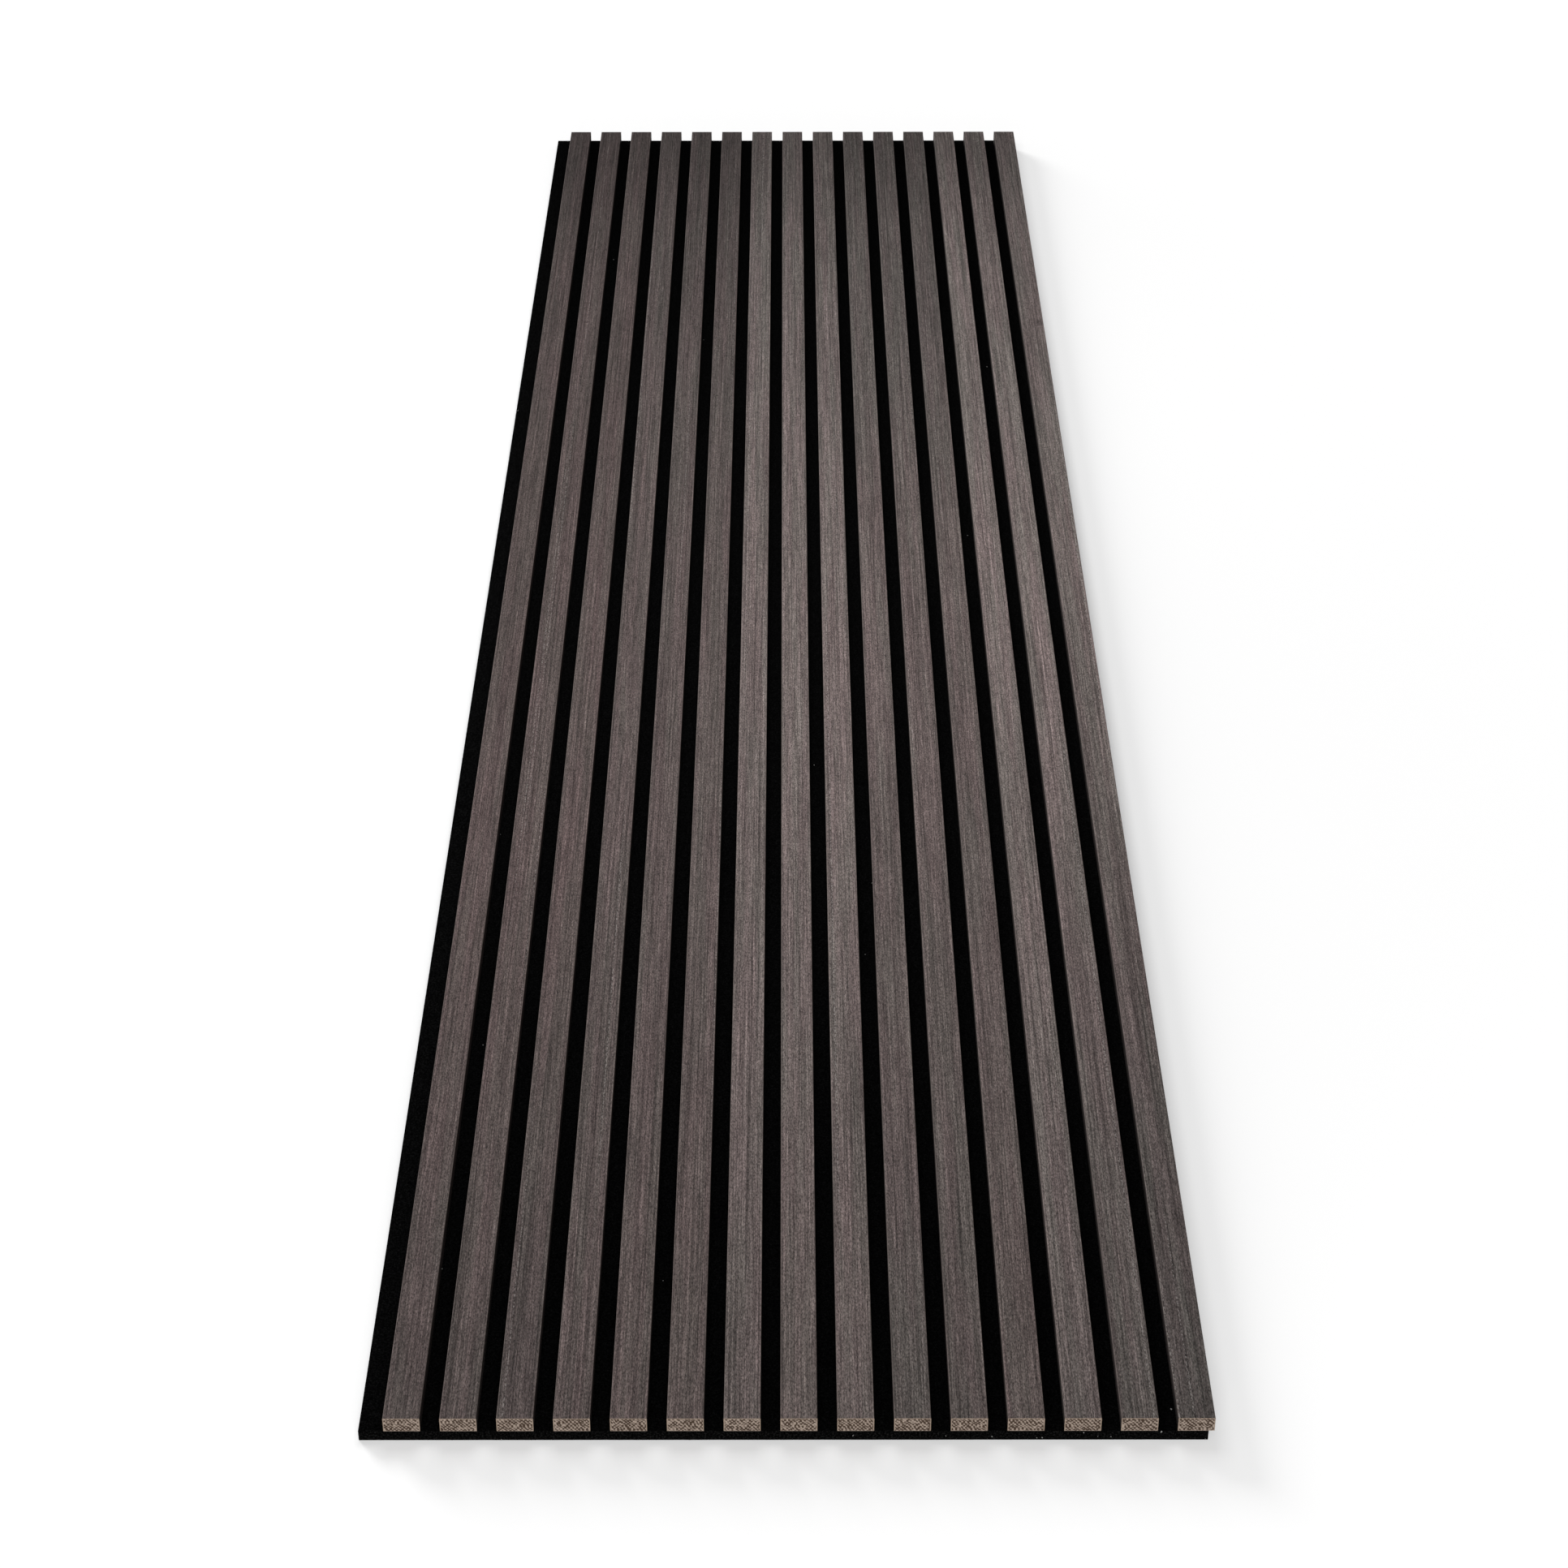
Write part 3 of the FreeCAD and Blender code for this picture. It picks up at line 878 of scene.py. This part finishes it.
def make_staples(material):
    """Wire staples: a flattened round section carried down one leg, along the crown and up the other.

    The section is a circle squared off by raising cosine and sine to a small power, and the
    legs end in a chisel.
    """
    low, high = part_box("fixing_staples")
    leg_x = staple_half_crown() - WIRE_THICKNESS / 2
    crown_z = low.z + WIRE_THICKNESS / 2
    turn = np.linspace(0, math.pi / 2, BEND_STEPS)
    arc_x = leg_x - WIRE_BEND + WIRE_BEND * np.cos(turn)
    arc_z = crown_z + WIRE_BEND - WIRE_BEND * np.sin(turn)
    path_x = mirrored(np.concatenate([[leg_x, leg_x], arc_x]), sign=-1)
    path_z = mirrored(np.concatenate([[high.z, high.z - CHISEL_LENGTH], arc_z]))
    out_x = mirrored(np.concatenate([[1, 1], np.cos(turn)]), sign=-1)
    out_z = mirrored(np.concatenate([[0, 0], -np.sin(turn)]))
    slim = np.ones(len(path_x))
    slim[[0, -1]] = CHISEL_THINNESS

    angle = 2 * math.pi * (np.arange(WIRE_SIDES) + 0.5) / WIRE_SIDES
    squared_cosine, squared_sine = (
        np.sign(wave) * np.abs(wave) ** WIRE_SQUARENESS for wave in (np.cos(angle), np.sin(angle))
    )
    thick = slim[:, None] * WIRE_THICKNESS / 2 * squared_cosine
    x = path_x[:, None] + out_x[:, None] * thick
    z = path_z[:, None] + out_z[:, None] * thick
    y = np.broadcast_to(WIRE_WIDTH / 2 * squared_sine, x.shape)
    staple = np.stack([x, y, z], -1).reshape(-1, 3)

    numbers = np.arange(len(staple)).reshape(len(path_x), WIRE_SIDES)
    closed = np.concatenate([numbers, numbers[:, :1]], 1)
    sides = grid_quads(closed)
    tips = np.stack([numbers[0], numbers[-1][::-1]])
    middle_x, middle_y = staple_middles()
    shift = np.stack([middle_x, middle_y, np.zeros(len(middle_x))], 1)
    points = (staple[None] + shift[:, None]).reshape(-1, 3)
    start = (len(staple) * np.arange(len(shift)))[:, None, None]
    faces = [(sides + start).reshape(-1, 4), (tips + start).reshape(-1, WIRE_SIDES)]
    return make_piece(
        "wire_staples", points, faces, [material], "wire", ["fixing_staples"], sharp=50
    )


# Felt


def lines_with(low, high, spacing, middles, offsets):
    """Even lines from low to high, less those near the extra ones at the offsets round each middle."""
    even = np.linspace(low, high, round((high - low) / spacing) + 1)
    extra = (np.asarray(middles)[:, None] + np.asarray(offsets)[None, :]).ravel()
    clearance = spacing / 5
    clear = np.abs(even[:, None] - extra[None, :]).min(1) > clearance
    clear[[0, -1]] = True
    inside = extra[(extra > low) & (extra < high)]
    return np.unique(np.concatenate([even[clear], inside]))


def make_felt(material):
    """The felt board: a block with rounded, uneven edges, lumpy faces and a dimple at every staple.

    Rounding clamps each point to the block shrunk by the radius and pushes it out again by it.
    Dimples are deepest along a crown and fade by a bell curve with the distance to it.
    """
    low, high = (np.array(corner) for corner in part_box("felt_backing"))
    rng = seeded("felt")
    half_crown = staple_half_crown()
    staple_x, staple_y = staple_middles()
    across = half_crown * np.array(CROWN_SHARES)
    along = WIRE_WIDTH * np.array(WIRE_SHARES)
    edge = FELT_EDGE_RADIUS * np.array(EDGE_SHARES)
    xs = lines_with(low[0], high[0], FELT_LINE_SPACING, slat_middles(), across)
    ys = lines_with(low[1], high[1], FELT_LINE_SPACING, np.unique(staple_y), along)
    zs = np.linspace(low[2], high[2], FELT_LAYERS)
    xs, ys, zs = (
        np.unique(np.concatenate([lines, start + edge, stop - edge]))
        for lines, start, stop in zip((xs, ys, zs), low, high)
    )
    points, quads = block_skin(xs, ys, zs)
    core = np.clip(points, low + FELT_EDGE_RADIUS, high - FELT_EDGE_RADIUS)
    normal = unit(points - core)
    points = core + normal * FELT_EDGE_RADIUS
    lumps = 0.5 + 0.25 * lattice_noise(rng, points[:, 0], points[:, 1], *LUMP_CELL)
    lumps += 0.25 * lattice_noise(rng, points[:, 0] + points[:, 2], points[:, 1], *RIDGE_CELL)
    points -= normal * (FELT_LUMPS * lumps)[:, None]

    nearest = np.full(len(points), np.inf)
    for x, y in zip(staple_x, staple_y):
        aside = np.maximum(np.abs(points[:, 0] - x) - half_crown, 0)
        nearest = np.minimum(nearest, np.hypot(aside, points[:, 1] - y))
    on_back = normal[:, 2] < -0.9
    points[:, 2] += on_back * DIMPLE_DEPTH * np.exp(-((nearest / DIMPLE_REACH) ** 2))

    # Where the board was cut: 1 on its edges, 0 on its faces, smooth over the rounding. The felt is
    # paler there, with opened fibres and painted sheen.
    cut = smooth_step(1.2 - 1.4 * np.abs(normal[:, 2]))
    return make_piece(
        "felt_board", points, [quads], [material], "felt", ["felt_backing"], sharp=60, cut=cut
    )


def make_fibres(name, roots, bends, tips, radius, material):
    """Three-sided hairs: a closed triangle at the root, a slimmer one at the bend, a pointed tip."""
    along = unit(tips - roots)
    askew = (0.31, 0.42, 0.85)
    side = unit(np.cross(along, askew))
    other = np.cross(along, side)
    turn = 2 * math.pi * np.arange(3) / 3
    ring = side[:, None] * np.cos(turn)[:, None] + other[:, None] * np.sin(turn)[:, None]
    root_ring = roots[:, None] + radius * ring
    bend_ring = bends[:, None] + HAIR_BEND_SLIMNESS * radius * ring
    points = np.concatenate([root_ring, bend_ring, tips[:, None]], 1)
    start = (points.shape[1] * np.arange(len(roots)))[:, None, None]
    sides = np.array([[0, 1, 4, 3], [1, 2, 5, 4], [2, 0, 3, 5]]) + start
    ends = np.array([[2, 1, 0], [3, 4, 6], [4, 5, 6], [5, 3, 6]]) + start
    faces = [sides.reshape(-1, 4), ends.reshape(-1, 3)]
    return make_piece(name, points.reshape(-1, 3), faces, [material], "felt")


def bare_strips():
    """Low and high X of each strip of felt that shows between the slats and beside the first one."""
    felt_low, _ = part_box("felt_backing")
    boxes = slat_boxes()
    starts = [felt_low.x] + [high.x for _, high in boxes[:-1]]
    return np.array([(start, low.x) for start, (low, _) in zip(starts, boxes)])


def scatter_on_felt(rng, edge_count, top_count, back_count):
    """Random places on the felt that shows, along its cut edges, on its top and on its back.

    Returns the places and the outward normals there.
    """
    low, high = (np.array(corner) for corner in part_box("felt_backing"))
    size = high - low
    strips = bare_strips()

    share = rng.uniform(0, 2 * (size[0] + size[1]), edge_count)
    far = rng.integers(0, 2, edge_count)
    edges = low + rng.uniform(0, 1, (edge_count, 3)) * size
    outward = np.zeros((edge_count, 3))
    rows = np.arange(edge_count)
    axis = np.where(share < 2 * size[1], 0, 1)
    edges[rows, axis] = np.where(far, high[axis], low[axis])
    outward[rows, axis] = 2 * far - 1

    strip = strips[rng.integers(0, len(strips), top_count)]
    top = np.stack([
        rng.uniform(strip[:, 0], strip[:, 1]),
        rng.uniform(low[1], high[1], top_count),
        np.full(top_count, high[2]),
    ], 1)
    back = low + rng.uniform(0, 1, (back_count, 3)) * size
    back[:, 2] = low[2]
    up = np.array([0.0, 0.0, 1.0])
    normals = np.concatenate([outward, np.tile(up, (top_count, 1)), np.tile(-up, (back_count, 1))])
    return np.concatenate([edges, top, back]), normals


def random_lie(rng, normals):
    """Random directions along the surface: the part of a random vector that is square to the normal."""
    lie = rng.normal(size=normals.shape)
    return unit(lie - normals * (lie * normals).sum(1, keepdims=True))


def make_felt_fuzz(material):
    """Loose hairs of the felt, rooted in it and lying close along its surface."""
    rng = seeded("fuzz")
    roots, normals = scatter_on_felt(rng, EDGE_HAIRS, TOP_HAIRS, BACK_HAIRS)
    count = len(roots)
    lie = random_lie(rng, normals)
    length = rng.uniform(*HAIR_LENGTHS, (count, 1))
    lift = rng.uniform(*HAIR_LIFTS, (count, 1))
    sunk = roots - normals * HAIR_ROOT_DEPTH
    bends = roots + lie * 0.5 * length + normals * lift
    tip_lift = lift * rng.uniform(*HAIR_TIP_SHARES, (count, 1))
    tips = roots + lie * length + normals * tip_lift
    low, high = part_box("felt_backing")
    for part in (sunk, bends, tips):
        part[:, 2] = np.clip(part[:, 2], low.z + 2 * HAIR_RADIUS, high.z + HAIR_CEILING)
    return make_fibres("felt_fuzz", sunk, bends, tips, HAIR_RADIUS, material)


def make_lint(material):
    """Pale specks of lint caught on the felt: scattered ones, and single larger ones.

    Scattered specks on the edge lie on its near side, crowded to the right by a squared share.
    """
    rng = seeded("lint")
    roots, normals = scatter_on_felt(rng, LINT_COUNT // 3, LINT_COUNT - LINT_COUNT // 3, 0)
    low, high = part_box("felt_backing")
    to_viewer, up = (0, -1, 0), (0, 0, 1)
    on_edge = normals[:, 2] == 0
    roots[on_edge, 1] = low.y
    roots[on_edge, 0] = high.x - (high.x - low.x) * rng.uniform(0, 1, on_edge.sum()) ** 2
    normals[on_edge] = to_viewer
    edge_spots = [(x * MM, low.y, z * MM) for x, z in EDGE_LINT]
    face_spots = [(x * MM, y * MM, high.z) for x, y in FACE_LINT]
    roots = np.concatenate([roots, edge_spots, face_spots])
    normals = np.concatenate([normals, [to_viewer] * len(edge_spots), [up] * len(face_spots)])
    scattered = np.arange(len(roots)) < LINT_COUNT
    radius = np.where(scattered, LINT_RADIUS, SPECK_RADIUS)[:, None, None]
    lie = random_lie(rng, normals)
    length = rng.uniform(*LINT_LENGTHS, (len(roots), 1))
    bends = roots + lie * 0.5 * length + normals * LINT_BEND_LIFT
    tips = roots + lie * length + normals * LINT_TIP_LIFT
    for part in (roots, bends, tips):
        part[:, 2] = np.clip(part[:, 2], low.z + LINT_FLOOR, None)
    return make_fibres("felt_lint", roots - normals * LINT_ROOT_DEPTH, bends, tips, radius, material)


# Stage


def make_floor():
    """A wide white floor under the panel.

    The camera sees it glow, more so outwards from the panel, so that only shadows show.
    """
    mesh = bpy.data.meshes.new("floor")
    across = np.array([-1, 1, 1, -1]) * FLOOR_HALF
    along = np.array([-1, -1, 1, 1]) * FLOOR_HALF
    mesh.from_pydata(np.stack([across, along, np.zeros(4)], 1), [], [(0, 1, 2, 3)])
    floor = bpy.data.objects.new("floor", mesh)
    bpy.context.scene.collection.objects.link(floor)
    material, tree, shader = new_material("white_floor")
    connect(tree, shader, opaque(FLOOR_GREY), roughness=1.0, specular=0.0)
    shader.inputs["Emission Color"].default_value = opaque(WHITE)
    rays = add(tree, "LightPath").outputs
    seen = calculate(tree, "MAXIMUM", rays["Is Camera Ray"], rays["Is Glossy Ray"])
    seen = calculate(tree, "MAXIMUM", seen, rays["Is Transmission Ray"])
    glow = spread(tree, oval_distance(tree, GLOW_PLACE, GLOW_SIZE), *GLOW_STRENGTHS)
    feed(tree, calculate(tree, "MULTIPLY", seen, glow), shader.inputs["Emission Strength"])
    mesh.materials.append(material)


def make_world():
    """Even white light from all round, and plain white where the camera sees past the floor."""
    world = bpy.data.worlds.new("studio")
    world.use_nodes = True
    tree = world.node_tree
    background = tree.nodes["Background"]
    background.inputs["Color"].default_value = opaque(WHITE)
    rays = add(tree, "LightPath").outputs
    seen = calculate(tree, "MAXIMUM", rays["Is Camera Ray"], rays["Is Transmission Ray"])
    feed(tree, spread(tree, seen, *WORLD_STRENGTHS), background.inputs["Strength"])
    bpy.context.scene.world = world


def add_lamp(name, kind, place, target, energy, **settings):
    """A lamp at a place, pointed at a target, that lights the panel but isn't seen itself."""
    light = bpy.data.lights.new(name, kind)
    light.energy = energy
    for setting, value in settings.items():
        setattr(light, setting, value)
    lamp = bpy.data.objects.new(name, light)
    lamp.location = place
    lamp.rotation_euler = (Vector(target) - Vector(place)).to_track_quat("-Z", "Y").to_euler()
    lamp.visible_camera = False
    bpy.context.scene.collection.objects.link(lamp)


def make_lamps():
    """A soft box over the middle, a soft low sun from the back left, a soft panel before the near end."""
    add_lamp(
        "soft_box", "AREA", place=(-0.1, 0.0, 1.1), target=(0, 0, 0), energy=9.0,
        shape="RECTANGLE", size=1.5, size_y=0.8,
    )
    add_lamp(
        "low_sun", "SUN", place=(-1.15, 1.62, 0.46), target=(0, 0, 0), energy=3.1,
        angle=math.radians(22),
    )
    add_lamp(
        "front_panel", "AREA", place=(0, -3.5, 0.75), target=(0, -1.2, 0), energy=22.5,
        shape="RECTANGLE", size=1.6, size_y=0.6,
    )


def make_camera():
    """The photograph's viewpoint: before the near end, looking along the slats and down."""
    lens = bpy.data.cameras.new("camera")
    lens.sensor_width = CAMERA_SENSOR
    lens.sensor_fit = "HORIZONTAL"
    lens.lens = CAMERA_LENS
    lens.clip_end = CAMERA_SIGHT
    camera = bpy.data.objects.new("camera", lens)
    bpy.context.scene.collection.objects.link(camera)
    turn = (
        Matrix.Rotation(CAMERA_YAW, 4, "Z")
        @ Matrix.Rotation(math.pi / 2 - CAMERA_PITCH, 4, "X")
        @ Matrix.Rotation(CAMERA_ROLL, 4, "Z")
    )
    camera.matrix_world = Matrix.Translation(CAMERA_PLACE) @ turn
    bpy.context.scene.camera = camera


def main():
    """Dresses the panel piece by piece, then sets the stage."""
    veneer_materials = [make_veneer(), make_raw_veneer()]
    fibreboard = make_fibreboard()
    for number in SLAT_NUMBERS:
        make_wrap(number, veneer_materials)
        make_core(number, fibreboard)
    make_felt(make_felt_material())
    make_felt_fuzz(make_fibre_material("felt_hairs", LOOSE_HAIR))
    make_lint(make_fibre_material("pale_lint", LINT_GREY))
    make_staples(make_wire_material())
    make_floor()
    make_world()
    make_lamps()
    make_camera()
    bpy.context.scene.view_settings.view_transform = "Standard"


main()
